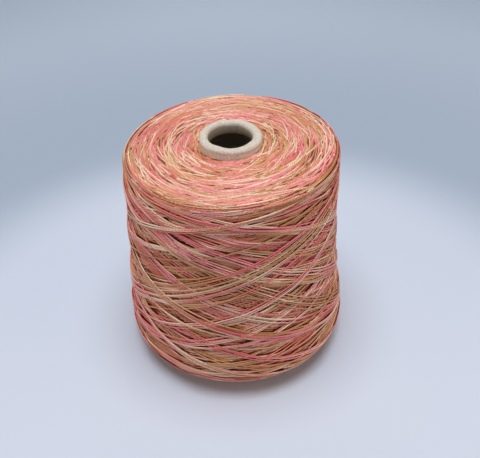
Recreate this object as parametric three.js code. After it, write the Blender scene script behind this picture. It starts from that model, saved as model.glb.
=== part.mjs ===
// A cone of yarn: one long, soft yarn wound on a tapered paper cone.
//
// The paper cone is a rolled tube whose narrow end is turned in on itself, so that the yarn can
// pull off over a round nose. The yarn crosses from the foot of the winding to its top and back
// about once a turn. Turns that fall side by side lie on the surface as flat, raised ribbons, and
// the turning points at each end stack up into the nearly flat top and bottom faces.
//
// Millimetres, +Z up. The origin is the centre of the paper cone's base ring, which the cone
// stands on. Angles run anticlockwise from +X, seen from above, so -90 degrees is the front.

import * as THREE from "three";
import { mergeVertices } from "three/addons/utils/BufferGeometryUtils.js";

const { degToRad, euclideanModulo, smoothstep } = THREE.MathUtils;

// The paper cone: the common 170 mm size, whose side leans in by 4 degrees 20 minutes
const CONE_HEIGHT = 170;
const CONE_TAPER = degToRad(4 + 20 / 60);
const NOSE_RADIUS = 20.4;
const PAPER_WALL = 3;
const LIP_WIDTH = 5.2; // the turned-in nose, from its outside to its inside
const COLLAR_DEPTH = 9; // how far the turned-in paper reaches down the bore
const COLLAR_EDGE = 0.8; // the worn edge where the turned-in paper ends

// The wound form
const YARN_BOTTOM = 8;
const YARN_TOP = 163;
const BOTTOM_CORNER = 17;
const TOP_CORNER = 4.5;
const CLEARANCE = 0.3; // between the paper and the first layer of yarn
const MIDDLE = (YARN_TOP + YARN_BOTTOM) / 2;
const REACH = (YARN_TOP - YARN_BOTTOM) / 2;

// The winding's outer radius, from the foot's round corner to the top's: it follows the cone's
// taper and draws in a little more at mid height, where the yarn crosses most steeply.
const SIDE = [
  { height: YARN_BOTTOM + BOTTOM_CORNER, radius: 80.9 },
  { height: 55, radius: 77.7 },
  { height: 80, radius: 74.8 },
  { height: 105, radius: 73.1 },
  { height: 130, radius: 71.7 },
  { height: YARN_TOP - TOP_CORNER, radius: 70.7 },
];

// Hand-fed winding is never quite true: its middle sits to one side and its top leans.
const MIDDLE_SHIFT = -1.2;
const TOP_LEAN = degToRad(1.2);

// The raised ribbons of side-by-side turns. Each one touches the top edge at one angle and winds
// down to the foot over its sweep, both in degrees. Those that climb 1 rise anticlockwise, and
// those that climb -1 rise clockwise. Width and rise are in millimetres.
const RIBBONS = [
  { topAt: 112, climb: 1, sweep: 480, width: 12, rise: 1.1 },
  { topAt: 22, climb: 1, sweep: 516, width: 8, rise: 0.9 },
  { topAt: 210, climb: 1, sweep: 573, width: 7, rise: 0.7 },
  { topAt: 18, climb: -1, sweep: 595, width: 6, rise: 0.8 },
  { topAt: 110, climb: -1, sweep: 419, width: 6, rise: 0.8 },
  { topAt: 145, climb: -1, sweep: 520, width: 8, rise: 0.8 },
  { topAt: 176, climb: -1, sweep: 383, width: 9, rise: 0.8 },
  { topAt: 38, climb: -1, sweep: 565, width: 8, rise: 0.7 },
  { topAt: -65, climb: -1, sweep: 549, width: 10, rise: 1.0 },
  { topAt: -86, climb: -1, sweep: 491, width: 8, rise: 0.9 },
];

// Between the ribbons the layers cross in a shallow lattice. Its ridges lie side by side round
// the cone, the same number rising each way, and follow the yarn from the top edge to the foot.
const LATTICE = { ridges: 24, sweep: 520, rise: 0.3 };

// The top face's turns pile up in two sets of low spiral ridges that cross each other.
const RIDGES = [
  { spacing: 11, arms: 2, rise: 0.35 },
  { spacing: 8.5, arms: -3, rise: 0.25 },
];
const RIDGE_FADE = 7; // ridges die away over this width at the paper and at the top edge

// Facets
const SIDES = 72;
const YARN_ROWS = 74;
const NOSE_STEPS = 8;

const paper = new THREE.MeshStandardMaterial({ color: 0xd3c5b6, roughness: 0.9, metalness: 0 });
const yarn = new THREE.MeshStandardMaterial({ color: 0xcf8d7c, roughness: 0.85, metalness: 0 });

// The outside of the paper at a height above its base
function paperRadius(height) {
  const noseShoulder = CONE_HEIGHT - LIP_WIDTH / 2;
  return NOSE_RADIUS + (noseShoulder - height) * Math.tan(CONE_TAPER);
}

// Half of the paper cone's cross-section: up the outside, over the round nose, down the
// turned-in collar, and down the inside of the wall.
function paperOutline() {
  const lipCentre = NOSE_RADIUS - LIP_WIDTH / 2;
  const noseShoulder = CONE_HEIGHT - LIP_WIDTH / 2;
  const collarEnd = CONE_HEIGHT - COLLAR_DEPTH;
  const boreRadius = NOSE_RADIUS - LIP_WIDTH;
  const points = [new THREE.Vector2(paperRadius(0), 0)];
  for (let step = 0; step <= NOSE_STEPS; step++) {
    const turned = (Math.PI * step) / NOSE_STEPS;
    const radius = lipCentre + (LIP_WIDTH / 2) * Math.cos(turned);
    points.push(new THREE.Vector2(radius, noseShoulder + (LIP_WIDTH / 2) * Math.sin(turned)));
  }
  points.push(new THREE.Vector2(boreRadius, collarEnd + COLLAR_EDGE));
  points.push(new THREE.Vector2(boreRadius + COLLAR_EDGE, collarEnd));
  points.push(new THREE.Vector2(paperRadius(collarEnd) - PAPER_WALL, collarEnd));
  points.push(new THREE.Vector2(paperRadius(0) - PAPER_WALL, 0));
  points.push(points[0].clone());
  return points;
}

function paperCone() {
  const lathe = new THREE.LatheGeometry(paperOutline(), SIDES);
  lathe.rotateX(Math.PI / 2); // a lathe turns about Y, and the cone stands along Z
  lathe.deleteAttribute("normal");
  lathe.deleteAttribute("uv");
  const geometry = mergeVertices(lathe);
  geometry.computeVertexNormals();
  return new THREE.Mesh(geometry, paper);
}

// Half of the wound form's cross-section, as evenly spaced points: out along the bottom face,
// round the foot, up the side, round the top corner and in along the top face.
function woundOutline() {
  const [foot, shoulder] = [SIDE[0], SIDE[SIDE.length - 1]];
  const path = new THREE.Path();
  path.moveTo(paperRadius(YARN_BOTTOM) + CLEARANCE, YARN_BOTTOM);
  path.lineTo(foot.radius - BOTTOM_CORNER, YARN_BOTTOM);
  path.absarc(foot.radius - BOTTOM_CORNER, foot.height, BOTTOM_CORNER, -Math.PI / 2, 0);
  path.splineThru(SIDE.slice(1).map(({ height, radius }) => new THREE.Vector2(radius, height)));
  path.absarc(shoulder.radius - TOP_CORNER, shoulder.height, TOP_CORNER, 0, Math.PI / 2);
  path.lineTo(paperRadius(YARN_TOP) + CLEARANCE, YARN_TOP);
  return path.getSpacedPoints(YARN_ROWS);
}

// How far down the winding the yarn is, part of the way through its sweep, from 0 to 1. It
// crosses fastest at mid height and turns back slowly at each end.
function swing(part) {
  return part - Math.sin(2 * Math.PI * part) / (2 * Math.PI);
}

// The part of its sweep at which the yarn is that far down, found by halving
function swingPart(down) {
  let [low, high] = [0, 1];
  for (let step = 0; step < 30; step++) {
    const middle = (low + high) / 2;
    if (swing(middle) < down) low = middle;
    else high = middle;
  }
  return low;
}

// How far one ribbon lifts the side at an angle in degrees and a height
function ribbonLift(ribbon, angle, height) {
  let lift = 0;
  let wound = euclideanModulo(ribbon.climb * (ribbon.topAt - angle), 360);
  for (; wound <= ribbon.sweep; wound += 360) {
    const centre = MIDDLE + REACH * (1 - 2 * swing(wound / ribbon.sweep));
    const across = (height - centre) / (ribbon.width / 2);
    lift = Math.max(lift, ribbon.rise * (1 - across * across));
  }
  return lift;
}

// How far the lattice lifts the side, dying away towards both ends, where its ridges crowd
function latticeLift(angle, height) {
  const down = THREE.MathUtils.clamp((YARN_TOP - height) / (YARN_TOP - YARN_BOTTOM), 0, 1);
  const part = swingPart(down);
  const wound = part * LATTICE.sweep;
  const rising = Math.cos(LATTICE.ridges * degToRad(angle + wound));
  const falling = Math.cos(LATTICE.ridges * degToRad(angle - wound));
  return LATTICE.rise * Math.sin(Math.PI * part) ** 4 * (rising + falling);
}

// How far the winding stands out from its plain form, at a point of the outline
function windingLift(angle, { x: radius, y: height }) {
  const inner = paperRadius(YARN_TOP) + CLEARANCE;
  const outer = SIDE[SIDE.length - 1].radius - TOP_CORNER;
  if (height === YARN_TOP) {
    const fade =
      smoothstep(radius, inner, inner + RIDGE_FADE) *
      smoothstep(outer - radius, 0, RIDGE_FADE);
    return RIDGES.reduce((lift, { spacing, arms, rise }) => {
      const phase = (2 * Math.PI * radius) / spacing + arms * degToRad(angle);
      return lift + fade * rise * Math.cos(phase);
    }, 0);
  }
  if (radius <= outer) return 0;
  const fade = smoothstep(height, YARN_BOTTOM, YARN_BOTTOM + BOTTOM_CORNER);
  const ribbons = Math.max(...RIBBONS.map((ribbon) => ribbonLift(ribbon, angle, height)));
  return fade * (ribbons + latticeLift(angle, height));
}

// The wound form's point at an angle in degrees, lifted along the outline's normal, with the
// winding's own shift and lean
function woundPoint(outline, row, angle) {
  const point = outline[row];
  const before = outline[Math.max(row - 1, 0)];
  const after = outline[Math.min(row + 1, outline.length - 1)];
  const along = after.clone().sub(before).normalize();
  const lift = windingLift(angle, point);
  const radius = point.x + along.y * lift;
  const height = point.y - along.x * lift;
  const part = (height - YARN_BOTTOM) / (YARN_TOP - YARN_BOTTOM);
  const shift = MIDDLE_SHIFT * Math.sin(Math.PI * THREE.MathUtils.clamp(part, 0, 1));
  const x = radius * Math.cos(degToRad(angle));
  const y = radius * Math.sin(degToRad(angle));
  const lean = Math.tan(TOP_LEAN) * x * smoothstep(part, 0.7, 1);
  return [x + shift, y, height + lean];
}

function woundYarn() {
  const outline = woundOutline();
  const positions = [];
  const triangles = [];
  for (let row = 0; row < outline.length; row++) {
    const nextRow = (row + 1) % outline.length; // the last row meets the first along the paper
    for (let side = 0; side < SIDES; side++) {
      const nextSide = (side + 1) % SIDES;
      positions.push(...woundPoint(outline, row, (360 * side) / SIDES));
      const corner = row * SIDES + side;
      const right = row * SIDES + nextSide;
      const above = nextRow * SIDES + side;
      const aboveRight = nextRow * SIDES + nextSide;
      triangles.push(corner, right, aboveRight, corner, aboveRight, above);
    }
  }
  const geometry = new THREE.BufferGeometry();
  geometry.setAttribute("position", new THREE.Float32BufferAttribute(positions, 3));
  geometry.setIndex(triangles);
  geometry.computeVertexNormals();
  return new THREE.Mesh(geometry, yarn);
}

function named(name, mesh) {
  mesh.name = name;
  return mesh;
}

const coneOfYarn = new THREE.Group();
coneOfYarn.add(named("paper_cone", paperCone()));
coneOfYarn.add(named("wound_yarn", woundYarn()));

export default coneOfYarn;
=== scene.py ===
# %% [markdown]
# # A cone of yarn
#
# A tapered paper cone, turned in at its nose, holds about three kilometres of one soft yarn. The
# yarn is dyed along its length in pink, coral, ochre, straw and cream, and it is wound in long
# crossing turns. This lesson lays the outer turns one by one, as a winding machine would, makes
# them round with Geometry Nodes, and gives the yarn and the paper procedural finishes.
#
# Everything is in metres, with +Z up. The cone stands on z = 0 and the viewer is on the -Y side.

import bpy
import numpy as np
from mathutils import Matrix, Vector


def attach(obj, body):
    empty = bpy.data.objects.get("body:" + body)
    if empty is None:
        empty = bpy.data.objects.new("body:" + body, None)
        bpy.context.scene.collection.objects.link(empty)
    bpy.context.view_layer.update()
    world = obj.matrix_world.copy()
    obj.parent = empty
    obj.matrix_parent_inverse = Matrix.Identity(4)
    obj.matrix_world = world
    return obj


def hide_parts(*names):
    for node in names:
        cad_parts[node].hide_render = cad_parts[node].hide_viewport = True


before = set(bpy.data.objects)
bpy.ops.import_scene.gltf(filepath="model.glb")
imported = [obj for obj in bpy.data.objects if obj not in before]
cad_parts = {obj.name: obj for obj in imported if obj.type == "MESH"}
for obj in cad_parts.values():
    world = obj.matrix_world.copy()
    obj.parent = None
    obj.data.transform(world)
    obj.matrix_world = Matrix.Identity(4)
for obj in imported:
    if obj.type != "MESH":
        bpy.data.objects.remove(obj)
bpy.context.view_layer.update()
MM = 0.001
chance = np.random.default_rng(20)

# %% [markdown]
# ## The camera
#
# The viewer looks down at the cone from about 40 degrees. The distance, the lens and the slight
# roll come from matching the nose, the foot and both sides of the winding to their outline in
# the picture. A real lens position is kept, with no lens shift, so the cone's own perspective
# shows: its foot looks narrower than it is.

# %% The camera
PICTURE_WIDTH = 480
FOCAL_LENGTH_IN_PIXELS = 600
SENSOR_WIDTH = 36
CAMERA_DISTANCE = 439.5 * MM
CAMERA_ELEVATION = np.radians(39.85)
CAMERA_ROLL = np.radians(-1.8)
ORBIT_CENTRE = Vector((0, 0, 85 * MM))
AIM = Vector((4.09 * MM, 0, 90.25 * MM))


def camera_turn(place, aim, roll):
    """The camera's world matrix, with its -Z towards the aim and its +X rolled from level."""
    forward = (aim - place).normalized()
    level = forward.cross(Vector((0, 0, 1))).normalized()
    upright = level.cross(forward)
    right = level * np.cos(roll) + upright * np.sin(roll)
    up = upright * np.cos(roll) - level * np.sin(roll)
    turn = Matrix((right, up, -forward)).transposed().to_4x4()
    return Matrix.Translation(place) @ turn


lens = bpy.data.cameras.new("viewer")
lens.sensor_width = SENSOR_WIDTH
lens.lens = SENSOR_WIDTH * FOCAL_LENGTH_IN_PIXELS / PICTURE_WIDTH
camera = bpy.data.objects.new("viewer", lens)
bpy.context.collection.objects.link(camera)
viewer = ORBIT_CENTRE + CAMERA_DISTANCE * Vector(
    (0, -np.cos(CAMERA_ELEVATION), np.sin(CAMERA_ELEVATION))
)
camera.matrix_world = camera_turn(viewer, AIM, CAMERA_ROLL)
bpy.context.scene.camera = camera
print("lens", lens.lens, "mm at", tuple(round(v, 3) for v in viewer))

# %% [markdown]
# ## The wound form
#
# The winding is a body of revolution before its last layers go on. Its half outline is a chain
# of straight lines, two round corners and a gently hollow side, so it could be a spun mesh. Here
# the outline is kept as a measured path instead: every place on the winding is an angle round
# the cone, a distance along this path, and a lift above it. Yarn is easy to describe that way.

# %% Sizes of the form
CONE_HEIGHT = 170 * MM
CONE_TAPER = np.radians(4 + 20 / 60)
NOSE_RADIUS = 20.4 * MM
LIP_WIDTH = 5.2 * MM
YARN_BOTTOM = 8 * MM
YARN_TOP = 163 * MM
BOTTOM_CORNER = 17 * MM
TOP_CORNER = 4.5 * MM
SIDE_HEIGHTS = np.array([25, 55, 80, 105, 130, 158.5]) * MM
SIDE_RADII = np.array([80.9, 77.7, 74.8, 73.1, 71.7, 70.7]) * MM
MEAN_RADIUS = SIDE_RADII.mean()
MIDDLE_SHIFT = -1.2 * MM
TOP_LEAN = np.radians(1.2)
LEAN_FROM = 0.7
LEAN_OVER = 0.3
SIDE_POINTS = 60
OUTLINE_STEP = 0.25 * MM
OUTLINE_BLUR = 9


def paper_radius(height):
    """The outside of the paper cone at a height above its base."""
    return NOSE_RADIUS + (CONE_HEIGHT - LIP_WIDTH / 2 - height) * np.tan(CONE_TAPER)


def arc(centre, radius, first, last, steps=24):
    """Points of an arc from one angle to another, in degrees."""
    turned = np.radians(np.linspace(first, last, steps))
    return np.c_[centre[0] + radius * np.cos(turned), centre[1] + radius * np.sin(turned)]


def smoothed(values, width):
    """A running mean that keeps both ends where they are."""
    pad = width // 2
    padded = np.r_[np.full(pad, values[0]), values, np.full(pad, values[-1])]
    return np.convolve(padded, np.full(2 * pad + 1, 1 / (2 * pad + 1)), "valid")


# %% The form's outline
def wound_outline():
    """Out along the top face, down the side and in along the bottom, as even steps."""
    shoulder = (SIDE_RADII[-1] - TOP_CORNER, YARN_TOP - TOP_CORNER)
    foot = (SIDE_RADII[0] - BOTTOM_CORNER, YARN_BOTTOM + BOTTOM_CORNER)
    heights = np.linspace(SIDE_HEIGHTS[-1], SIDE_HEIGHTS[0], SIDE_POINTS)[1:-1]
    radii = smoothed(np.interp(heights, SIDE_HEIGHTS, SIDE_RADII), OUTLINE_BLUR)
    corners = np.vstack(
        [
            [[paper_radius(YARN_TOP), YARN_TOP]],
            arc(shoulder, TOP_CORNER, 90, 0),
            np.c_[radii, heights],
            arc(foot, BOTTOM_CORNER, 0, -90),
            [[paper_radius(YARN_BOTTOM), YARN_BOTTOM]],
        ]
    )
    run = np.r_[0, np.cumsum(np.hypot(*np.diff(corners, axis=0).T))]
    even = np.linspace(0, run[-1], int(run[-1] / OUTLINE_STEP))
    radius = smoothed(np.interp(even, run, corners[:, 0]), OUTLINE_BLUR)
    height = smoothed(np.interp(even, run, corners[:, 1]), OUTLINE_BLUR)
    along_r = np.gradient(radius, even)
    along_z = np.gradient(height, even)
    size = np.hypot(along_r, along_z)
    return {
        "s": even,
        "radius": radius,
        "height": height,
        "along_r": along_r / size,
        "along_z": along_z / size,
    }


form = wound_outline()
OUTLINE_LENGTH = form["s"][-1]
print("outline", round(OUTLINE_LENGTH / MM), "mm long")


def form_value(name, s):
    """One of the outline's values at distances along it."""
    return np.interp(s, form["s"], form[name])


def side_distance(height):
    """How far along the outline the side passes a height."""
    on_side = form["radius"] > SIDE_RADII[-1] - TOP_CORNER
    s = form["s"][on_side]
    heights = form["height"][on_side]
    return np.interp(-height, -heights, s)


# %% Places on the form
def place(angle, s, lift):
    """World points at angles in degrees, distances along the outline, and lifts above it."""
    turned = np.radians(angle)
    radius = form_value("radius", s) - form_value("along_z", s) * lift
    height = form_value("height", s) + form_value("along_r", s) * lift
    part = np.clip((height - YARN_BOTTOM) / (YARN_TOP - YARN_BOTTOM), 0, 1)
    top = np.clip((part - LEAN_FROM) / LEAN_OVER, 0, 1)
    x = radius * np.cos(turned)
    y = radius * np.sin(turned)
    lean = np.tan(TOP_LEAN) * x * top * top * (3 - 2 * top)
    return np.c_[x + MIDDLE_SHIFT * np.sin(np.pi * part), y, height + lean]


def outward(angle, s):
    """The form's outward direction at the same places."""
    turned = np.radians(angle)
    flat = -form_value("along_z", s)
    return np.c_[flat * np.cos(turned), flat * np.sin(turned), form_value("along_r", s)]


# %% [markdown]
# ## Laying the yarn
#
# A bump pattern of crossing lines would look flat, because the depth of a real winding comes
# from strands that bridge each other and leave dark gaps. So the last layers are really laid. A
# grid over the form holds how high the yarn stands so far. Each new strand finds the heights
# under its path, is pulled taut over them, and then raises the grid itself.
#
# Pulled taut on a round form, a strand runs straight between the humps that it touches. Seen
# along the strand, the round form is a parabola that curves down, so the taut strand is the
# upper hull of the humps once that parabola is taken off their heights.

# %% The yarn and the grid
YARN_WIDTH = 1.0 * MM
YARN_THICKNESS = 0.85 * MM
PRESSED = 0.38 * MM
ANGLE_CELLS = 900
S_CELL = 0.4 * MM
ACROSS = np.array([-0.9, -0.5, 0, 0.5, 0.9])
BED_HEIGHTS = np.array([8, 30, 148, 163]) * MM
BED_LIFTS = np.array([-1.0, -2.4, -2.4, -1.0]) * MM

grid_s = np.arange(int(OUTLINE_LENGTH / S_CELL) + 1) * S_CELL
bed = np.interp(form_value("height", grid_s), BED_HEIGHTS, BED_LIFTS)
surface = np.repeat(bed[:, None], ANGLE_CELLS, axis=1)
strands = []
print("grid of", *surface.shape, "cells")


def cells(angle, s):
    """The rows and columns of the grid at these places."""
    column = np.round(angle / 360 * ANGLE_CELLS).astype(int) % ANGLE_CELLS
    row = np.clip(np.round(s / S_CELL).astype(int), 0, len(grid_s) - 1)
    return row, column


def yarn_top(lift, across):
    """The strand's upper side, at a place across it from -1 to 1."""
    return lift + YARN_THICKNESS / 2 * np.sqrt(1 - across * across)


def yarn_under(surface_lift, across):
    """The lift of a strand whose pressed underside rests there."""
    return surface_lift + PRESSED - yarn_top(0, 0) - (yarn_top(0, 0) - yarn_top(0, across))


def resting_lift(angle, s):
    """The least lift at which a strand clears everything under it."""
    lift = np.full(len(s), -np.inf)
    for across in ACROSS:
        under = surface[cells(angle, s + across * YARN_WIDTH / 2)]
        lift = np.maximum(lift, yarn_under(under, across))
    return lift


def pulled_taut(run, lift, radius):
    """The lift of a strand that is stretched over these heights on a round form."""
    straight = lift - run * run / (2 * radius)
    hull = []
    for i in range(len(run)):
        while len(hull) > 1:
            a, b = hull[-2], hull[-1]
            rise_to_b = (straight[b] - straight[a]) * (run[i] - run[a])
            rise_to_i = (straight[i] - straight[a]) * (run[b] - run[a])
            if rise_to_b >= rise_to_i:
                break
            hull.pop()
        hull.append(i)
    return np.interp(run, run[hull], straight[hull]) + run * run / (2 * radius)


def raise_surface(angle, s, lift):
    """Raises the grid to the upper side of a strand."""
    for across in ACROSS:
        at = cells(angle, s + across * YARN_WIDTH / 2)
        np.maximum.at(surface, at, yarn_top(lift, across))


# %% One turn
ANGLE_STEP = 360 / ANGLE_CELLS
SWEEP = 520
WANDER = 0.28 * MM
WANDER_WAVES = (2, 5)
DYE_REPEAT = 0.66
DYE_UNEVEN = 0.15
DYE_SPREAD = 0.12


def near_tone(tone):
    """A length of dyed yarn to start at, close to a place in the dye order."""
    return (tone + chance.normal(0, DYE_SPREAD)) * DYE_REPEAT


def keep_strand(angle, s, lift, group, dyed_from):
    """Adds a strand to the winding. dyed_from says which length of the dyed yarn it starts at."""
    points = place(angle, s, lift)
    steps = np.linalg.norm(np.diff(points, axis=0), axis=1)
    along = dyed_from + np.r_[0, np.cumsum(steps)]
    raise_surface(angle, s, lift)
    strands.append({"angle": angle, "s": s, "lift": lift, "along": along, "group": group})


def swing(part):
    """How far across the winding the yarn is, part of the way through its sweep."""
    return part - np.sin(2 * np.pi * part) / (2 * np.pi)


def lay_turn(top_at, climb, sweep, top, bottom, dyed_from):
    """Lays one turn between its turning points, which are distances along the outline.

    It touches the top at the angle top_at. With climb 1 it rises anticlockwise, and with -1 it
    falls anticlockwise. The yarn turns back slowly at each end and crosses fastest half way.
    """
    wound = np.arange(0, sweep, ANGLE_STEP)
    angle = top_at - climb * wound
    s = top + (bottom - top) * swing(wound / sweep)
    s = s + chance.normal(0, WANDER) * np.sin(np.radians(wound) * chance.uniform(*WANDER_WAVES))
    run = np.radians(wound) * MEAN_RADIUS
    lift = pulled_taut(run, resting_lift(angle, s), MEAN_RADIUS)
    if climb > 0:
        angle, s, lift = angle[::-1], s[::-1], lift[::-1]
    keep_strand(angle, s, lift, "side", dyed_from)


# %% [markdown]
# ## The two ends
#
# The flat top and the underside are made of turning points. Each layer's strand comes up the
# side of its own layer, touches the face for a finger's width, and dips below the layers that
# were wound over it. So each visible stroke is the crest of a shallow wave. Only that crest is
# laid here, a little askew, as slack turns are.

# %% Crests on the end faces
CREST_REACH = 22
CREST_SLANT = 2.6 * MM
# In millimetres: how far a crest bows to one side, and how high it lies
CREST_BOW = 0.9
CREST_LEVELS = (-0.35, 0.15)
TRAVERSE = 155 * MM
TOP_WIDTH = 46 * MM
DYES_ACROSS = 1.6
CREST_TONE_SPREAD = 0.15


def lay_crest(middle, s, dips_up, group):
    """Lays the visible part of a turning point, at an angle and a distance on the outline."""
    turned = np.arange(-CREST_REACH, CREST_REACH + ANGLE_STEP, 2 * ANGLE_STEP)
    depth = TRAVERSE * swing(abs(turned) / SWEEP)
    slant = chance.normal(0, CREST_SLANT) * turned / CREST_REACH
    bow = abs(chance.normal(CREST_BOW, CREST_BOW)) * MM * (turned / CREST_REACH) ** 2
    path = s + slant + bow * (1 if dips_up < 0 else -1)
    along_r = form_value("along_r", path)
    along_z = form_value("along_z", path)
    level = -YARN_THICKNESS / 2 + chance.uniform(*CREST_LEVELS) * MM
    path = path + dips_up * depth * along_z
    lift = level + dips_up * depth * along_r
    tone = DYES_ACROSS * s / TOP_WIDTH + middle / 360 + chance.normal(0, CREST_TONE_SPREAD)
    keep_strand(middle + turned, path, lift, group, near_tone(tone))


# %% Both ends covered
CREST_GAP = 0.38 * MM
CREST_OVERLAP = 1.25
CREST_TURN = 222.5
CREST_JITTER = 8
FACE_EDGE = 0.8 * MM
FOOT_BAND = 11 * MM


def cover_end(first, last, dips_up, group):
    """Spreads crests evenly over a band of the outline, out of order, like the real layers."""
    full_turns = (last - first) / CREST_GAP
    count = int(full_turns * 360 / (2 * CREST_REACH) * CREST_OVERLAP)
    places = first + (last - first) * (chance.permutation(count) + chance.random(count)) / count
    for i, s in enumerate(places):
        middle = i * CREST_TURN + chance.uniform(-CREST_JITTER, CREST_JITTER)
        lay_crest(middle % 360, s, dips_up, group)
    return count


shoulder_s = side_distance(YARN_TOP - TOP_CORNER)
foot_s = side_distance(YARN_BOTTOM + FOOT_BAND)
top_crests = cover_end(FACE_EDGE, shoulder_s, -1, "top")
foot_crests = cover_end(foot_s, OUTLINE_LENGTH - FACE_EDGE, 1, "foot")
print(top_crests, "crests on top and", foot_crests, "below")

# %% [markdown]
# ## The crossing turns
#
# First a scatter of single turns both ways, which mostly ends up underneath. Then sets of a few
# turns that fell side by side, and last the ribbons and lone strands that lie on top, which
# follow the picture.

# %% The turns below
UNDER_TURNS = 170
SWEEP_SPREAD = 25
# Where turns turn back, in millimetres from that end: the least, the spread and its skew
TOP_TURNING = (0.6, 26, 1.7)
FOOT_TURNING = (3, 44, 1.6)


def turning_depth(least, spread, skew):
    """How far from the end a turn turns back, for most turns close to it."""
    return (least + spread * chance.beta(1, skew)) * MM


def turning_points():
    """Where a turn turns back at each end, as distances along the outline."""
    top = side_distance(YARN_TOP - turning_depth(*TOP_TURNING))
    bottom = side_distance(YARN_BOTTOM + turning_depth(*FOOT_TURNING))
    return top, bottom


for i in range(UNDER_TURNS):
    climb = 1 if i % 2 else -1
    sweep = chance.normal(SWEEP, SWEEP_SPREAD)
    top_at = chance.uniform(0, 360)
    lay_turn(top_at, climb, sweep, *turning_points(), near_tone(2 * top_at / 360))
print(len(strands), "strands so far")

# %% [markdown]
# Where the winder's swing and its turning nearly keep step, the next turns fall beside the last
# ones, and their dyed lengths nearly line up too. That is why broad patches of pink or ochre
# appear, although each strand changes colour every few centimetres.

# %% Turns that fell side by side
SETS = 48
MOST_IN_SET = 7
SIDE_BY_SIDE = 2.2
SPACINGS = [SIDE_BY_SIDE, 1.15 * SIDE_BY_SIDE, 2.1 * SIDE_BY_SIDE]
SET_SWEEP_SPREAD = 20
SET_START = 20
SET_TURN = 137.5
# How far a turn strays from its place, in degrees, and from its ends, in millimetres
ANGLE_NUDGE = 0.15
END_NUDGE = 0.4
DYE_DRIFT = 0.012
DYE_JITTER = 0.035


def lay_set(top_at, climb, sweep, count, spacing, ends, dyed_from):
    """Lays turns next to each other, with a slight wander."""
    top, bottom = ends
    drift = chance.normal(0, DYE_DRIFT)
    for i in range(count):
        wander = chance.normal(0, ANGLE_NUDGE)
        nudge = chance.normal(0, END_NUDGE, 2) * MM
        at = top_at - climb * (i * spacing + wander)
        dye = dyed_from + i * drift + chance.normal(0, DYE_JITTER)
        lay_turn(at, climb, sweep, top + nudge[0], bottom + nudge[1], dye)


for i in range(SETS):
    climb = 1 if i % 2 else -1
    count = int(chance.integers(1, MOST_IN_SET + 1))
    spacing = chance.choice(SPACINGS)
    sweep = chance.normal(SWEEP, SET_SWEEP_SPREAD)
    top_at = i * SET_TURN + SET_START
    dyed_from = near_tone(2 * top_at / 360)
    lay_set(top_at, climb, sweep, count, spacing, turning_points(), dyed_from)
print(len(strands), "strands so far")

# %% The last turns
# Columns: angle of touching the top, climb, sweep, turns, degrees between them, the heights of
# both turning points above the table in millimetres, and the place in the dye order in front.
LAST_SETS = [
    (-10, -1, 434, 3, 2.6, 160, 12, 0.80),
    (285, 1, 636, 2, 2.4, 162, 12, 0.60),
    (42, -1, 559, 4, 2.6, 160, 12, 0.10),
    (48, -1, 587, 3, 3.2, 160, 12, 0.12),
    (61, -1, 614, 3, 3.4, 162, 12, 0.44),
    (180, -1, 383, 4, 3.0, 160, 12, 0.97),
    (15, -1, 495, 3, 3.0, 160, 12, 0.90),
    (142, -1, 525, 4, 2.2, 158, 12, 0.18),
    (152, -1, 500, 3, 3.0, 160, 12, 0.84),
    (128, -1, 446, 1, 2.4, 160, 12, 0.14),
    (122, -1, 332, 5, 3.0, 162, 12, 0.10),
    (75, -1, 480, 3, 2.4, 162, 12, 0.88),
    (20, -1, 595, 4, 2.2, 161.5, 12, 0.17),
    (114, -1, 419, 4, 2.2, 162, 12, 0.82),
    (214, 1, 573, 3, 3.4, 161.5, 12, 0.93),
    (126, 1, 466, 1, 2.2, 159, 13, 0.33),
    (121, 1, 476, 3, 2.2, 159, 13, 0.06),
    (114.4, 1, 478, 3, 2.2, 159, 13, 0.57),
    (107.8, 1, 480, 2, 2.2, 159, 13, 0.48),
    (102.5, 1, 482, 3, 2.2, 159, 13, 0.64),
    (28, 1, 516, 3, 2.1, 161, 12, 0.27),
    (21, 1, 516, 4, 2.1, 160, 12, 0.05),
    (-60, -1, 549, 5, 2.4, 160, 20, 0.84),
    (-88, -1, 449, 2, 2.6, 160, 56, 0.15),
    (-83, -1, 491, 4, 2.2, 160, 10, 0.16),
    (121, 1, 621, 1, 1.6, 161, 12, 0.26),
]
FRONT = -90
for top_at, climb, sweep, count, spacing, high, low, tone in LAST_SETS:
    ends = (side_distance(high * MM), side_distance(low * MM))
    turned = (climb * (top_at - FRONT)) % 360
    run = np.radians(turned if climb < 0 else sweep - turned) * MEAN_RADIUS
    dyed_from = (tone - DYE_UNEVEN / 2) * DYE_REPEAT - run
    lay_set(top_at, climb, sweep, count, spacing, ends, dyed_from)
laid = sum(strand["along"][-1] - strand["along"][0] for strand in strands)
print(len(strands), "strands,", round(laid), "m of yarn")

# %% [markdown]
# ## Pressed into shape
#
# Each layer is pressed by the next ones, so the winding stays even although more turns cross
# near its ends than half way. The broad swells of the laid yarn are taken out again here, and
# what is left, its ribbons and hollows, is pressed closer to the form. Pressing keeps the order
# of the heights, so every strand still passes over the same ones.

# %% Levelling
LEVEL = -0.1 * MM
ROW_BLUR = 1
BROAD_ANGLE = 60
BROAD_S = 30
RELIEF_HEIGHTS = np.array([8, 30, 140, 157, 162.5, 163]) * MM
RELIEFS = np.array([0.7, 1.35, 1.35, 0.5, 0.5, 0.55]) * MM


def running_mean(values, half, mode):
    """A mean over rows, two times, so that it has no corners."""
    for _ in range(2):
        padded = np.pad(values, ((half + 1, half), (0, 0)), mode=mode)
        total = np.cumsum(padded, axis=0)
        values = (total[2 * half + 1:] - total[:-2 * half - 1]) / (2 * half + 1)
    return values


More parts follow.
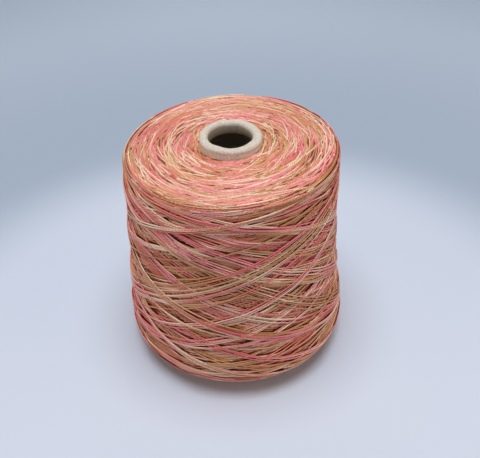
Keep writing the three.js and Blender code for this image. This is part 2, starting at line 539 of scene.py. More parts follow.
def pressed(lift, s):
    """Brings humps and hollows closer to the level, the high and the deep ones most."""
    relief = np.interp(form_value("height", s), RELIEF_HEIGHTS, RELIEFS)
    return LEVEL + relief * np.tanh((lift - LEVEL) / relief)


all_round = running_mean(surface.mean(axis=1, keepdims=True), ROW_BLUR, "edge")
uneven = surface - all_round
broad = running_mean(running_mean(uneven, BROAD_S, "edge").T, BROAD_ANGLE, "wrap").T
swell = all_round + broad - LEVEL
surface -= swell
for strand in strands:
    strand["lift"] = strand["lift"] - swell[cells(strand["angle"], strand["s"])]
print("swell from", (swell.min() / MM).round(1), "to", (swell.max() / MM).round(1), "mm")
print("relief", (np.percentile(surface, (1, 50, 99)) / MM).round(2), "mm")

# %% [markdown]
# ## What shows
#
# Most of each turn is buried. A strand is kept only where its upper side is near the top of the
# finished winding, plus a little more at both ends so that it dives under its neighbours.

# %% Visible spans
HIDDEN_DEPTH = 0.25 * MM
HIDDEN_ENDS = 4
SHORTEST = 3 * MM
FEWEST_STEPS = 3
LIFT_BLUR = 5
POINT_GAPS = {"side": 2.8 * MM, "top": 2.2 * MM, "foot": 3.2 * MM}


def shows(strand):
    """Which of the strand's points stand near the top of the finished winding."""
    seen = np.zeros(len(strand["s"]), bool)
    for across in ACROSS:
        at = cells(strand["angle"], strand["s"] + across * YARN_WIDTH / 2)
        seen |= yarn_top(strand["lift"], across) > surface[at] - HIDDEN_DEPTH
    reach = np.ones(2 * HIDDEN_ENDS + 1)
    return np.convolve(seen, reach, "same") > 0.5


def spans(mask):
    """The first and last index of each stretch that is True."""
    edges = np.flatnonzero(np.diff(np.r_[0, mask.astype(int), 0]))
    return [(a, b - 1) for a, b in zip(edges[::2], edges[1::2]) if b - 1 > a]


def visible_pieces(group):
    """Each visible span as points, outward directions and lengths along the yarn."""
    found = []
    for strand in strands:
        if strand["group"] != group:
            continue
        along = strand["along"]
        crest = pressed(strand["lift"] + yarn_top(0, 0), strand["s"])
        lift = smoothed(crest, LIFT_BLUR) - yarn_top(0, 0)
        for a, b in spans(shows(strand)):
            length = along[b] - along[a]
            if length < SHORTEST:
                continue
            steps = max(FEWEST_STEPS, round(length / POINT_GAPS[group]))
            at = np.linspace(along[a], along[b], 1 + steps)
            angle = np.interp(at, along, strand["angle"])
            s = np.interp(at, along, strand["s"])
            points = place(angle, s, np.interp(at, along, lift))
            found.append((points, outward(angle, s), at))
    return found


visible = {group: visible_pieces(group) for group in POINT_GAPS}
for group, found in visible.items():
    shown = sum(at[-1] - at[0] for _, _, at in found)
    print(group, len(found), "spans,", round(shown, 1), "m,", sum(len(p) for p, _, _ in found))

# %% [markdown]
# ## Round yarn, with Geometry Nodes
#
# A strand could be a bevelled curve, but then its flat side could not face the cone. In this
# tree each polyline becomes a curve whose normal is the form's outward direction, and an oval
# section is swept along it. The section starts at its underside, so the seam of the UV map,
# length along the yarn against the way round it, is never seen.

# %% Small helpers for node trees
def give(tree, target, value):
    """Links another node's output to an input, or sets the input to a plain value."""
    if isinstance(value, bpy.types.NodeSocket):
        tree.links.new(value, target)
    else:
        target.default_value = value


def add(tree, kind, at, **settings):
    """Adds a node. Each setting is one of its properties or else one of its inputs."""
    node = tree.nodes.new(kind)
    node.location = at
    for name, value in settings.items():
        if hasattr(node, name):
            setattr(node, name, value)
        else:
            give(tree, node.inputs[name.replace("_", " ").title()], value)
    return node


def filled(tree, kind, at, values, **settings):
    """Adds a node, gives its first inputs these values in turn, and returns its outputs."""
    node = add(tree, kind, at, **settings)
    for target, value in zip(node.inputs, values):
        give(tree, target, value)
    return node.outputs


def maths(tree, operation, at, *values):
    """The result of a math node."""
    return filled(tree, "ShaderNodeMath", at, values, operation=operation)[0]


def vector(tree, at, *values):
    """A vector from its parts."""
    return filled(tree, "ShaderNodeCombineXYZ", at, values)[0]


def socket(tree, name, direction, kind, value=None):
    """Makes a group's input or output."""
    made = tree.interface.new_socket(name, in_out=direction, socket_type=kind)
    if value is not None:
        made.default_value = value


# %% The yarn tree
SECTION_SIDES = 5
SEAM_GAP = 0.01 * MM


def attribute(tree, at, name, kind="FLOAT"):
    """An attribute that the points carry."""
    node = add(tree, "GeometryNodeInputNamedAttribute", at, data_type=kind)
    node.inputs["Name"].default_value = name
    return node.outputs["Attribute"]


def stored(tree, at, name, kind, domain, value):
    """A node that keeps a value on the geometry under a name."""
    node = add(tree, "GeometryNodeStoreNamedAttribute", at, data_type=kind, domain=domain)
    node.inputs["Name"].default_value = name
    tree.links.new(value, node.inputs["Value"])
    return node


def yarn_tree():
    """Sweeps an oval section along the polylines of a mesh."""
    tree = bpy.data.node_groups.new("round_yarn", "GeometryNodeTree")
    socket(tree, "Geometry", "INPUT", "NodeSocketGeometry")
    socket(tree, "Width", "INPUT", "NodeSocketFloat", YARN_WIDTH)
    socket(tree, "Thickness", "INPUT", "NodeSocketFloat", YARN_THICKNESS)
    socket(tree, "Sides", "INPUT", "NodeSocketInt", SECTION_SIDES)
    socket(tree, "Finish", "INPUT", "NodeSocketMaterial")
    socket(tree, "Geometry", "OUTPUT", "NodeSocketGeometry")
    given = add(tree, "NodeGroupInput", (-900, 0))
    path = add(tree, "GeometryNodeMeshToCurve", (-700, 100))
    up = attribute(tree, (-700, -80), "outward", "FLOAT_VECTOR")
    turned = add(tree, "GeometryNodeSetCurveNormal", (-500, 100), mode="FREE", normal=up)

    more = maths(tree, "ADD", (-700, -260), given.outputs["Sides"], 1)
    circle = {"radius": 0.5, "start_angle": np.pi, "sweep_angle": 2 * np.pi}
    section = add(tree, "GeometryNodeCurveArc", (-500, -260), resolution=more, **circle)
    sizes = (given.outputs["Thickness"], given.outputs["Width"], 1)
    oval = vector(tree, (-500, -480), *sizes)
    flat = add(tree, "GeometryNodeTransform", (-300, -260), scale=oval)
    way_round = add(tree, "GeometryNodeSplineParameter", (-300, -480)).outputs["Factor"]
    held = stored(tree, (-100, -260), "round", "FLOAT", "POINT", way_round)

    plump = attribute(tree, (-100, -80), "plump")
    swept = add(tree, "GeometryNodeCurveToMesh", (100, 100), scale=plump)
    along = attribute(tree, (100, -100), "along")
    around = attribute(tree, (100, -240), "round")
    pair = vector(tree, (300, -160), along, around)
    mapped = stored(tree, (500, 100), "UVMap", "FLOAT2", "CORNER", pair)
    closed = add(tree, "GeometryNodeMergeByDistance", (700, 100), distance=SEAM_GAP)
    smooth = add(tree, "GeometryNodeSetShadeSmooth", (900, 100))
    real = add(tree, "GeometryNodeRealizeInstances", (1100, 100))
    painted = add(tree, "GeometryNodeSetMaterial", (1300, 100), material=given.outputs["Finish"])
    result = add(tree, "NodeGroupOutput", (1500, 100))
    main_line = [given, path, turned, swept, mapped, closed, smooth, real, painted, result]
    for line in ([section, flat, held], main_line):
        for near, far in zip(line, line[1:]):
            tree.links.new(near.outputs[0], far.inputs[0])
    tree.links.new(held.outputs[0], swept.inputs["Profile Curve"])
    return tree


round_yarn = yarn_tree()
print("yarn tree of", len(round_yarn.nodes), "nodes")


# %% Polylines into yarn
TIP_WIDTH = 0.004


def polyline_mesh(name, found):
    """One mesh of edges, which carries what the tree needs at each point."""
    points = np.vstack([p for p, _, _ in found])
    sizes = np.array([len(p) for p, _, _ in found])
    ends = np.cumsum(sizes)
    starts = ends - sizes
    index = np.arange(len(points))
    linked = np.ones(len(points), bool)
    linked[ends - 1] = False
    edges = np.c_[index[linked], index[linked] + 1]
    mesh = bpy.data.meshes.new(name)
    mesh.from_pydata(points, edges, [])
    plump = np.ones(len(points))
    plump[np.r_[starts, ends - 1]] = TIP_WIDTH
    directions = np.vstack([n for _, n, _ in found])
    lengths = np.concatenate([a for _, _, a in found])
    for label, kind, field, values in (
        ("outward", "FLOAT_VECTOR", "vector", directions.ravel()),
        ("along", "FLOAT", "value", lengths),
        ("plump", "FLOAT", "value", plump),
    ):
        mesh.attributes.new(label, kind, "POINT").data.foreach_set(field, values)
    return mesh


def make_real(source, name):
    """Gives an object its evaluated mesh as a plain one, and takes its modifier off."""
    depsgraph = bpy.context.evaluated_depsgraph_get()
    mesh = bpy.data.meshes.new_from_object(source.evaluated_get(depsgraph))
    mesh.name = name
    source.modifiers.clear()
    old = source.data
    source.data = mesh
    bpy.data.meshes.remove(old)


def yarn_piece(name, found, finish):
    """Sweeps round yarn along the spans and returns the finished object."""
    piece = bpy.data.objects.new(name, polyline_mesh(name + "_paths", found))
    bpy.context.collection.objects.link(piece)
    modifier = piece.modifiers.new("round_yarn", "NODES")
    modifier.node_group = round_yarn
    inputs = {
        item.name: item.identifier
        for item in round_yarn.interface.items_tree
        if item.item_type == "SOCKET" and item.in_out == "INPUT"
    }
    modifier[inputs["Finish"]] = finish
    make_real(piece, name)
    print(name, len(piece.data.polygons), "faces")
    return piece


# %% [markdown]
# ## The yarn's finish
#
# The dye runs along the yarn, so its colour depends only on the length along the strand. Each
# repeat of the dye passes through the same baths, and a slow noise stretches and shortens them.
# Three plies twist round each other, which shows as slanting grooves, bumped and given a painted
# shade in the grooves and a painted highlight on the crests, and fine fibres break up the shine.
# Each strand's flanks also get a painted shade.

# %% Dyed lengths
DYE_NOISE = 5.0
DYES = [
    (0.00, (0.82, 0.17, 0.17)),
    (0.08, (0.86, 0.31, 0.27)),
    (0.12, (0.98, 0.79, 0.56)),
    (0.16, (0.80, 0.46, 0.22)),
    (0.22, (0.56, 0.22, 0.07)),
    (0.35, (0.66, 0.33, 0.11)),
    (0.41, (0.82, 0.18, 0.12)),
    (0.49, (0.87, 0.27, 0.23)),
    (0.54, (0.98, 0.79, 0.56)),
    (0.59, (0.82, 0.50, 0.24)),
    (0.65, (0.56, 0.22, 0.06)),
    (0.70, (0.66, 0.30, 0.11)),
    (0.76, (0.82, 0.14, 0.14)),
    (0.84, (0.88, 0.25, 0.26)),
    (0.90, (0.88, 0.51, 0.36)),
    (0.95, (0.98, 0.79, 0.56)),
    (1.00, (0.82, 0.17, 0.17)),
]


def group_of(name, inputs, outputs):
    """A new shader group, what comes out of its inputs, and its output node."""
    tree = bpy.data.node_groups.new(name, "ShaderNodeTree")
    for label, value in inputs.items():
        socket(tree, label, "INPUT", "NodeSocketFloat", value)
    for label, kind in outputs.items():
        socket(tree, label, "OUTPUT", kind)
    given = add(tree, "NodeGroupInput", (-900, 0))
    result = add(tree, "NodeGroupOutput", (900, 0))
    return tree, given.outputs[:len(inputs)], result


def colour_ramp(tree, at, factor, stops, interpolation="LINEAR"):
    """A colour from a ramp with these stops."""
    node = add(tree, "ShaderNodeValToRGB", at, fac=factor)
    ramp = node.color_ramp
    ramp.interpolation = interpolation
    while len(ramp.elements) < len(stops):
        ramp.elements.new(0.5)
    for element, (position, colour) in zip(ramp.elements, stops):
        element.position = position
        element.color = (*colour, 1)
    return node.outputs["Color"]


def dyed_lengths():
    """Colour from the length along the yarn."""
    inputs = {"Along": 0, "Repeat": DYE_REPEAT, "Uneven": DYE_UNEVEN}
    outputs = {"Color": "NodeSocketColor"}
    tree, (along, repeat, uneven), result = group_of("dyed_lengths", inputs, outputs)
    passed = maths(tree, "DIVIDE", (-700, 100), along, repeat)
    noise = {"noise_dimensions": "1D", "w": along, "scale": DYE_NOISE, "detail": 1.0}
    drift = add(tree, "ShaderNodeTexNoise", (-700, -120), **noise).outputs[0]
    shifted = maths(tree, "MULTIPLY_ADD", (-500, 0), drift, uneven, passed)
    wrapped = maths(tree, "FRACT", (-300, 0), shifted)
    dyed = colour_ramp(tree, (-100, 0), wrapped, DYES)
    tree.links.new(dyed, result.inputs["Color"])
    return tree


dye_group = dyed_lengths()
print(len(DYES) - 1, "steps of dye in", DYE_REPEAT, "m of yarn")

# %% Plied twist
PLIES = 3
TWIST_LENGTH = 7.5 * MM
FIBRES_ALONG = 400
FIBRES_ROUND = 14
FIBRE_SHARE = 0.35
GROOVE_HEIGHTS = (0.1, 1.1)
# How dark the painted groove shade and how bright the painted crest highlight are, as factors on
# the dye
GROOVE_PAINTED_LIGHT = (0.56, 1.16)


def remapped(tree, at, value, *ends):
    """A value moved from one range to a second one, or else to 0 to 1."""
    return filled(tree, "ShaderNodeMapRange", at, (value, *ends))[0]


def plied_twist():
    """Height of the plies and their fibres, and a painted shade that darkens the grooves and
    brightens the crests, from the yarn's own map.
    """
    inputs = {"Along": 0, "Round": 0, "Twist": TWIST_LENGTH}
    outputs = {"Height": "NodeSocketFloat", "Shade": "NodeSocketFloat"}
    tree, (along, around, twist), result = group_of("plied_twist", inputs, outputs)
    turns = maths(tree, "DIVIDE", (-700, 150), along, twist)
    both = maths(tree, "ADD", (-520, 150), turns, around)
    wave = maths(tree, "MULTIPLY", (-340, 150), both, np.pi * PLIES)
    sine = maths(tree, "SINE", (-160, 150), wave)
    ply = maths(tree, "ABSOLUTE", (20, 150), sine)
    lengthwise = maths(tree, "MULTIPLY", (-700, -80), along, FIBRES_ALONG)
    crosswise = maths(tree, "MULTIPLY", (-700, -250), both, FIBRES_ROUND)
    stretched = vector(tree, (-520, -150), lengthwise, crosswise)
    noise = {"noise_dimensions": "2D", "vector": stretched, "scale": 1.0, "detail": 2.0}
    fibres = add(tree, "ShaderNodeTexNoise", (-340, -150), **noise).outputs[0]
    height = maths(tree, "MULTIPLY_ADD", (250, 100), fibres, FIBRE_SHARE, ply)
    # Painted shade in the grooves between the plies and a painted highlight on their crests
    shade = remapped(tree, (450, -100), height, *GROOVE_HEIGHTS, *GROOVE_PAINTED_LIGHT)
    tree.links.new(height, result.inputs["Height"])
    tree.links.new(shade, result.inputs["Shade"])
    return tree


twist_group = plied_twist()
print("twist node group:", len(twist_group.nodes), "nodes")


# %% Small helpers for materials
def new_material(name, gloss):
    """A material with these values on its shader, and its tree and its shader."""
    material = bpy.data.materials.new(name)
    material.use_nodes = True
    shader = material.node_tree.nodes["Principled BSDF"]
    for label, value in gloss.items():
        shader.inputs[label].default_value = value
    return material, material.node_tree, shader


def mixed(tree, at, factor, first, second, blend="MIX"):
    """A mix of two colours."""
    node = add(tree, "ShaderNodeMix", at, data_type="RGBA", blend_type=blend, factor=factor)
    give(tree, node.inputs[6], first)
    give(tree, node.inputs[7], second)
    return node.outputs[2]


def bumped(tree, at, shader, height, strength, distance):
    """Makes a shader's surface rise and fall with a height."""
    bump = add(tree, "ShaderNodeBump", at, strength=strength, distance=distance)
    tree.links.new(height, bump.inputs["Height"])
    tree.links.new(bump.outputs[0], shader.inputs["Normal"])


# %% The yarn material
YARN_GLOSS = {
    "Roughness": 0.34,
    "Specular IOR Level": 0.8,
    "Sheen Weight": 0.03,
    "Sheen Roughness": 0.5,
}
YARN_BUMP = (0.8, 0.12 * MM)
# The way round the yarn: its upper side, and how far from there the painted shade of the flanks
# comes in
UPPER_SIDE = 0.5
FLANK_SHADE_RANGE = (0.16, 0.36)


def yarn_material():
    """Dye and twist from the yarn's own map, with a painted shade, the dye's colour squared, down
    its flanks.
    """
    material, tree, shader = new_material("dyed_yarn", YARN_GLOSS)
    mapped = add(tree, "ShaderNodeUVMap", (-1100, 0), uv_map="UVMap")
    split = add(tree, "ShaderNodeSeparateXYZ", (-900, 0), vector=mapped.outputs["UV"])
    along, around = split.outputs[:2]
    dye = add(tree, "ShaderNodeGroup", (-650, 200), node_tree=dye_group, along=along)
    twist = add(tree, "ShaderNodeGroup", (-650, -100), node_tree=twist_group, along=along)
    give(tree, twist.inputs["Round"], around)
    # The dye times the painted groove shade and crest highlight
    dye_with_groove_shade = mixed(tree, (-350, 150), 1, dye.outputs["Color"], twist.outputs["Shade"], "MULTIPLY")
    # Painted shade: the colour times itself, darker and redder, for the strand's flanks and
    # underside
    flank_painted_shade = mixed(tree, (-350, 400), 1, dye_with_groove_shade, dye_with_groove_shade, "MULTIPLY")
    from_top = maths(tree, "SUBTRACT", (-700, 400), around, UPPER_SIDE)
    either_way = maths(tree, "ABSOLUTE", (-600, 500), from_top)
    underside = remapped(tree, (-480, 400), either_way, *FLANK_SHADE_RANGE)
    coloured = mixed(tree, (-150, 250), underside, dye_with_groove_shade, flank_painted_shade)
    tree.links.new(coloured, shader.inputs["Base Color"])
    bumped(tree, (-350, -150), shader, twist.outputs["Height"], *YARN_BUMP)
    return material


yarn_finish = yarn_material()

# %% [markdown]
# ## The wound pieces
#
# The laid strands become a few objects, so that none is too heavy for the export. Under them
# lies one closed form, which stands in for the kilometres that nobody sees and stops light from
# passing through the gaps.

# %% Strand pieces
MOST_POINTS = 15000
PIECE_NAMES = {"side": "crossing_turns", "top": "top_turns", "foot": "foot_turns"}


def yarn_pieces(name, found):
    """As many objects as the spans need, each of them light enough."""
    points = np.cumsum([len(p) for p, _, _ in found])
    count = int(np.ceil(points[-1] / MOST_POINTS))
    shares = (points - 1) * count // points[-1]
    return [
        yarn_piece(f"{name}_{i + 1}", [f for f, share in zip(found, shares) if share == i],
                   yarn_finish)
        for i in range(count)
    ]


wound = []
for group, name in PIECE_NAMES.items():
    wound += yarn_pieces(name, visible[group])


# %% The body under the strands
BODY_SIDES = 120
BODY_ROWS = 110
BODY_HEIGHTS = np.array([8, 8.3, 30, 145, 158, 163]) * MM
BODY_DEPTHS = np.array([0.9, 1.2, 1.6, 1.6, 0.85, 0.5]) * MM
# Painted shade: dark red-brown, darker than any dye, for the gaps between the strands
BODY_PAINTED_SHADE_TONES = [(0.35, (0.20, 0.052, 0.03)), (0.65, (0.37, 0.11, 0.06))]
BODY_STREAKS = (30, 30, 700)
BODY_BUMP = (1, 0.5 * MM)
BODY_GLOSS = {"Roughness": 0.85, "Specular IOR Level": 0.15}


def ring_mesh(name, rings):
    """A closed mesh from rings of points, joined round and from the last ring to the first."""
    rows, sides = len(rings), len(rings[0])
    points = np.vstack(rings)
    row, side = np.meshgrid(np.arange(rows), np.arange(sides), indexing="ij")
    right = (side + 1) % sides
    below = (row + 1) % rows
    faces = np.stack(
        [row * sides + side, below * sides + side, below * sides + right, row * sides + right],
        axis=-1,
    ).reshape(-1, 4)
    mesh = bpy.data.meshes.new(name)
    mesh.from_pydata(points, [], faces.tolist())
    mesh.shade_smooth()
    return mesh


def link_object(name, mesh, material):
    """Adds a mesh with its material to the scene."""
    made = bpy.data.objects.new(name, mesh)
    mesh.materials.append(material)
    bpy.context.collection.objects.link(made)
    return made


def painted_shade_under_material():
    """Painted shade for the depth between the strands: dark red-brown in fine level streaks."""
    material, tree, shader = new_material("yarn_below_painted_shade", BODY_GLOSS)
    where = add(tree, "ShaderNodeTexCoord", (-1100, 0)).outputs["Object"]
    streaks = add(tree, "ShaderNodeMapping", (-900, 0), vector=where, scale=BODY_STREAKS)
    noise = {"vector": streaks.outputs[0], "scale": 1.0, "detail": 3.0}
    height = add(tree, "ShaderNodeTexNoise", (-700, 0), **noise).outputs[0]
    tree.links.new(colour_ramp(tree, (-450, 100), height, BODY_PAINTED_SHADE_TONES), shader.inputs["Base Color"])
    bumped(tree, (-450, -200), shader, height, *BODY_BUMP)
    return material


body_s = np.linspace(0, OUTLINE_LENGTH, BODY_ROWS)
angles = np.arange(BODY_SIDES) * 360 / BODY_SIDES
depths = np.interp(form_value("height", body_s), BODY_HEIGHTS, BODY_DEPTHS)
rings = [place(angles, np.full(BODY_SIDES, s), -depth) for s, depth in zip(body_s, depths)]
body = link_object("winding_body", ring_mesh("winding_body", rings), painted_shade_under_material())
wound.append(body)
print(body.name, len(body.data.polygons), "faces")

# %% [markdown]
# ## The paper cone
#
# The cone is rolled from thick grey-white paper. Its nose is turned in while damp, which leaves
# a soft lip that is a little out of round, a worn crest, and the step of the paper's overlap.
# A lathe would be too perfect, so each ring of the outline is bent by a few slow waves.

# %% The cone's outline
PAPER_WALL = 3 * MM
COLLAR_DEPTH = 9 * MM
COLLAR_EDGE = 0.8 * MM
ROLL_WIDTH = 5.8 * MM
ROLL_HEIGHT = 6.0 * MM
ROLL_PROUD = 0.1 * MM
ROLL_ARC = (172, -14)
ROLL_FOOT = 1.2 * MM
INNER_ROWS = 20
THROAT_ROWS = 5
EDGE_ROWS = 4
ROLL_ROWS = 26
OUTER_ROWS = 30
NOSE_MIDDLE = NOSE_RADIUS + ROLL_PROUD - ROLL_WIDTH / 2


def paper_outline():
    """The base, up the inner wall, round the collar and the nose, and down the outside."""
    middle = (NOSE_MIDDLE, CONE_HEIGHT - ROLL_HEIGHT / 2)
    bore = NOSE_RADIUS + ROLL_PROUD - ROLL_WIDTH
    collar = CONE_HEIGHT - COLLAR_DEPTH
    under = paper_radius(collar) - PAPER_WALL
    heights = np.linspace(0, collar, INNER_ROWS)
    inner = np.c_[paper_radius(heights) - PAPER_WALL, heights]
    throat_heights = np.linspace(collar + COLLAR_EDGE, middle[1], THROAT_ROWS)
    throat = np.c_[np.full(THROAT_ROWS, bore), throat_heights]
    turned = np.radians(np.linspace(*ROLL_ARC, ROLL_ROWS))
    roll = np.c_[
        middle[0] + ROLL_WIDTH / 2 * np.cos(turned), middle[1] + ROLL_HEIGHT / 2 * np.sin(turned)
    ]
    outside = np.linspace(roll[-1, 1] - ROLL_FOOT, 0, OUTER_ROWS)
    corner = (bore + COLLAR_EDGE, collar + COLLAR_EDGE)
    return np.vstack(
        [
            inner,
            [[(under + bore + COLLAR_EDGE) / 2, collar]],
            [[bore + COLLAR_EDGE, collar]],
            arc(corner, COLLAR_EDGE, -120, -180, EDGE_ROWS),
            throat[1:],
            roll,
            np.c_[paper_radius(outside), outside],
            [[paper_radius(0) - PAPER_WALL / 2, 0]],
        ]
    )


# %% The nose out of true
PAPER_SIDES = 180
CORNER_BLUR = 9
OVERLAP_AT = 72
OVERLAP_STEP = 0.5 * MM
OVERLAP_RISE = 0.7
OVERLAP_FADE = 14
# Both fade in over this height, the bends of the wall lower down than the wear of the crest
BEND_FROM = 158 * MM
CREST_FROM = 164 * MM
FADE_IN = 6 * MM
INNER_SIDE = 1.5 * MM
CREST_WORN = 0.35 * MM
# Waves round the nose, as columns: how many, their size in millimetres and where they start
WALL_WAVES = [(3, 0.10, 2.0), (5, 0.14, 1.1), (7, 0.08, 4.0), (13, 0.04, 0.3)]
CREST_WAVES = [(1, 0.25, -1.9), (4, 0.10, 1.0), (9, 0.07, 0)]
# The inside of the nose, as corners: angle round the cone and how far each one stands in or out
NOSE_CORNERS = np.array(
    [(-180, 0.1), (-150, -0.1), (-122, -0.2), (-98, 0.9), (-70, 0.3), (-40, -0.5),
     (-12, -0.6), (15, -1.0), (45, -0.9), (72, -0.2), (110, 0.0), (150, 0.3), (180, 0.1)]
)


def waved(waves, turned):
    """The sum of waves round the cone."""
    return sum(size * MM * np.cos(count * turned + start) for count, size, start in waves)


def paper_rings():
    """Each ring of the paper, bent out of true near the nose."""
    degrees = np.arange(PAPER_SIDES) * 360 / PAPER_SIDES - 180
    turned = np.radians(degrees)
    bend = waved(WALL_WAVES, turned)
    crest = waved(CREST_WAVES, turned) - CREST_WORN
    cornered = np.tile(np.interp(degrees, *NOSE_CORNERS.T) * MM, 3)
    cornered = smoothed(cornered, CORNER_BLUR)[PAPER_SIDES:-PAPER_SIDES]
    past = (degrees - OVERLAP_AT) % 360
    overlap = OVERLAP_STEP * np.exp(-past / OVERLAP_FADE) * (1 - np.exp(-past / OVERLAP_RISE))
    rings = []
    for radius, height in paper_outline():
        near_nose = np.clip((height - BEND_FROM) / FADE_IN, 0, 1)
        inside = np.clip((NOSE_MIDDLE + INNER_SIDE - radius) / (2 * INNER_SIDE), 0, 1)
        ring = radius + near_nose * (bend + inside * (cornered - overlap))
        level = height + crest * np.clip((height - CREST_FROM) / FADE_IN, 0, 1)
        rings.append(np.c_[ring * np.cos(turned), ring * np.sin(turned), level])
    return rings


# %% Paper finish
PULP = {"scale": 900, "detail": 6.0, "roughness": 0.65}
PAPER_TONES = [(0.3, (0.50, 0.42, 0.34)), (0.62, (0.75, 0.70, 0.59))]
PAPER_BUMP = (0.7, 0.35 * MM)
PAPER_GLOSS = {"Roughness": 0.9, "Specular IOR Level": 0.25}
# Painted shade down the bore: dark brown mixed in inside the wall, more of it lower down
BORE_SHADE_COLOUR = (0.32, 0.25, 0.165, 1)
BORE_SHADE_DEPTHS = (1.2 * MM, 1.6 * MM)
BORE_SHADE_HEIGHTS = (170 * MM, 162.5 * MM)


def paper_material():
    """Rough pulp, with a dark brown painted shade inside the wall down the bore."""
    material, tree, shader = new_material("rough_paper", PAPER_GLOSS)
    where = add(tree, "ShaderNodeTexCoord", (-1200, 0)).outputs["Object"]
    pulp = add(tree, "ShaderNodeTexNoise", (-900, 0), vector=where, **PULP).outputs[0]
    tone = colour_ramp(tree, (-600, 200), pulp, PAPER_TONES)
    x, y, z = add(tree, "ShaderNodeSeparateXYZ", (-900, 400), vector=where).outputs
    flat = vector(tree, (-720, 500), x, y)
    reach = filled(tree, "ShaderNodeVectorMath", (-560, 500), (flat,), operation="LENGTH")
    slope = -np.tan(CONE_TAPER)
    outer = maths(tree, "MULTIPLY_ADD", (-640, 420), z, slope, paper_radius(0))
    depth = maths(tree, "SUBTRACT", (-520, 420), outer, reach["Value"])
    inside = remapped(tree, (-400, 500), depth, *BORE_SHADE_DEPTHS)
    below = remapped(tree, (-560, 330), z, *BORE_SHADE_HEIGHTS)
    # Where the painted shade goes: inside the wall and below the nose
    bore_shade = maths(tree, "MULTIPLY", (-220, 450), inside, below)
    coloured = mixed(tree, (-40, 300), bore_shade, tone, BORE_SHADE_COLOUR)
    tree.links.new(coloured, shader.inputs["Base Color"])
    bumped(tree, (-600, -200), shader, pulp, *PAPER_BUMP)
    return material


paper_mesh = ring_mesh("rolled_paper_cone", paper_rings())
paper = link_object("rolled_paper_cone", paper_mesh, paper_material())
print("paper", len(paper_mesh.polygons), "faces")

# %% [markdown]
# ## The studio
#
# The cone stands in soft light on a pale, cool ground, with a painted pool of light round it that
# darkens gently a hand's length away from it. A flat floor with a wall would hide the cone from
# behind, so the ground is a wide shallow bowl instead, spun round the cone, and it looks much the
# same from every side.
# The lights are out of the camera's sight.

# %% The ground
FLOOR_RING = 0.6
FLOOR_RADIUS = 1.3
BOWL_BEND = 0.6
BOWL_TOP = 2.4
BEND_ROWS = 16
GROUND_SIDES = 96
# A pool of light painted on the ground: pale near the cone, darker further out, lighter again on
# the far bowl
PAINTED_POOL_CENTRE = (0, -0.05, 0)
PAINTED_POOL_EDGE = (0.225, 0.345, 0.75)
GROUND_PAINTED_LIGHT_COLOURS = ((0.625, 0.69, 0.785), (0.39, 0.47, 0.56), (0.52, 0.60, 0.69))
GROUND_GLOSS = {"Roughness": 0.8, "Specular IOR Level": 0.2}


def painted_pool_ground_material():
    """Pale and cool, with a painted pool of light round the cone and a darker surround."""
    material, tree, shader = new_material("studio_ground", GROUND_GLOSS)
    where = add(tree, "ShaderNodeTexCoord", (-900, 0)).outputs["Object"]
    from_pool = (where, PAINTED_POOL_CENTRE)
    away = filled(tree, "ShaderNodeVectorMath", (-700, 0), from_pool, operation="DISTANCE")
    near, middle, far = PAINTED_POOL_EDGE
    reach = remapped(tree, (-500, 0), away["Value"], near, far)
    stops = list(zip((0, (middle - near) / (far - near), 1), GROUND_PAINTED_LIGHT_COLOURS))
    tones = colour_ramp(tree, (-300, 0), reach, stops, "EASE")
    tree.links.new(tones, shader.inputs["Base Color"])
    return material


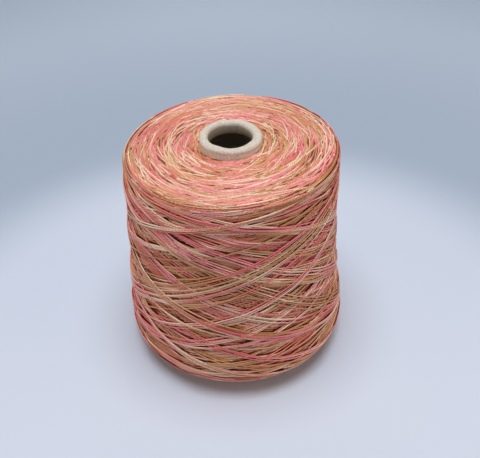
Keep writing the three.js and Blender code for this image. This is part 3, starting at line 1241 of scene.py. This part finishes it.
def ground_object():
    """A flat floor that curves up far away into a wall, as one spun mesh."""
    bend = arc((FLOOR_RADIUS, BOWL_BEND), BOWL_BEND, -90, 0, BEND_ROWS)
    line = np.vstack([[[FLOOR_RING, 0]], bend, [[bend[-1, 0], BOWL_TOP]]])
    turned = np.radians(np.arange(GROUND_SIDES) * 360 / GROUND_SIDES)
    rings = [
        np.c_[radius * np.cos(turned), radius * np.sin(turned), np.full(GROUND_SIDES, height)]
        for radius, height in line
    ]
    points = np.vstack([[[0, 0, 0]], *rings])
    faces = [(0, 1 + i, 1 + (i + 1) % GROUND_SIDES) for i in range(GROUND_SIDES)]
    for row in range(len(line) - 1):
        for i in range(GROUND_SIDES):
            right = (i + 1) % GROUND_SIDES
            near = 1 + row * GROUND_SIDES
            far = near + GROUND_SIDES
            faces.append((near + i, far + i, far + right, near + right))
    mesh = bpy.data.meshes.new("studio_ground")
    mesh.from_pydata(points, [], faces)
    mesh.shade_smooth()
    return link_object("studio_ground", mesh, painted_pool_ground_material())


ground_object()


# %% Lights
# Columns: name, place, what it points at, width, power and colour
LIGHTS = [
    ("overhead", (0.0, -0.1, 1.6), (0, 0, 0.1), 1.0, 21.2, (0.96, 0.99, 1.05)),
    ("left_side", (-0.9, -0.25, 0.35), (0, 0, 0.08), 0.8, 2.1, (1.0, 0.64, 0.38)),
    ("right_side", (0.9, -0.25, 0.35), (0, 0, 0.08), 0.8, 2.4, (1.0, 0.64, 0.38)),
    ("front", (0.1, -1.1, 0.5), (0, 0, 0.08), 0.6, 0.45, (1.0, 0.60, 0.32)),
    ("back", (0, 1.1, 0.45), (0, 0, 0.08), 0.7, 0.9, (1.0, 0.85, 0.75)),
]
AIR_COLOUR = (0.86, 0.91, 1.0, 1)
AIR_STRENGTH = 0.05


def soft_light(name, place_at, aim, size, power, colour):
    """A round soft light that the camera doesn't see."""
    light = bpy.data.lights.new(name, "AREA")
    light.shape = "DISK"
    light.size = size
    light.energy = power
    light.color = colour
    made = bpy.data.objects.new(name, light)
    bpy.context.collection.objects.link(made)
    direction = Vector(aim) - Vector(place_at)
    turn = direction.to_track_quat("-Z", "Y").to_matrix().to_4x4()
    made.matrix_world = Matrix.Translation(place_at) @ turn
    made.visible_camera = False


for light in LIGHTS:
    soft_light(*light)
world = bpy.data.worlds.new("studio_air")
world.use_nodes = True
air = world.node_tree.nodes["Background"]
air.inputs["Color"].default_value = AIR_COLOUR
air.inputs["Strength"].default_value = AIR_STRENGTH
bpy.context.scene.world = world
bpy.context.scene.view_settings.view_transform = "Standard"
print(len(LIGHTS), "lights")

# %% [markdown]
# ## The finished pieces
#
# The strands and the body under them stand for the solid winding, and the bent paper stands for
# the plain cone.

# %% Pieces in place of the plain parts
for piece in wound:
    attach(piece, "root")
    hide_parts("wound_yarn")
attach(paper, "root")
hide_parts("paper_cone")
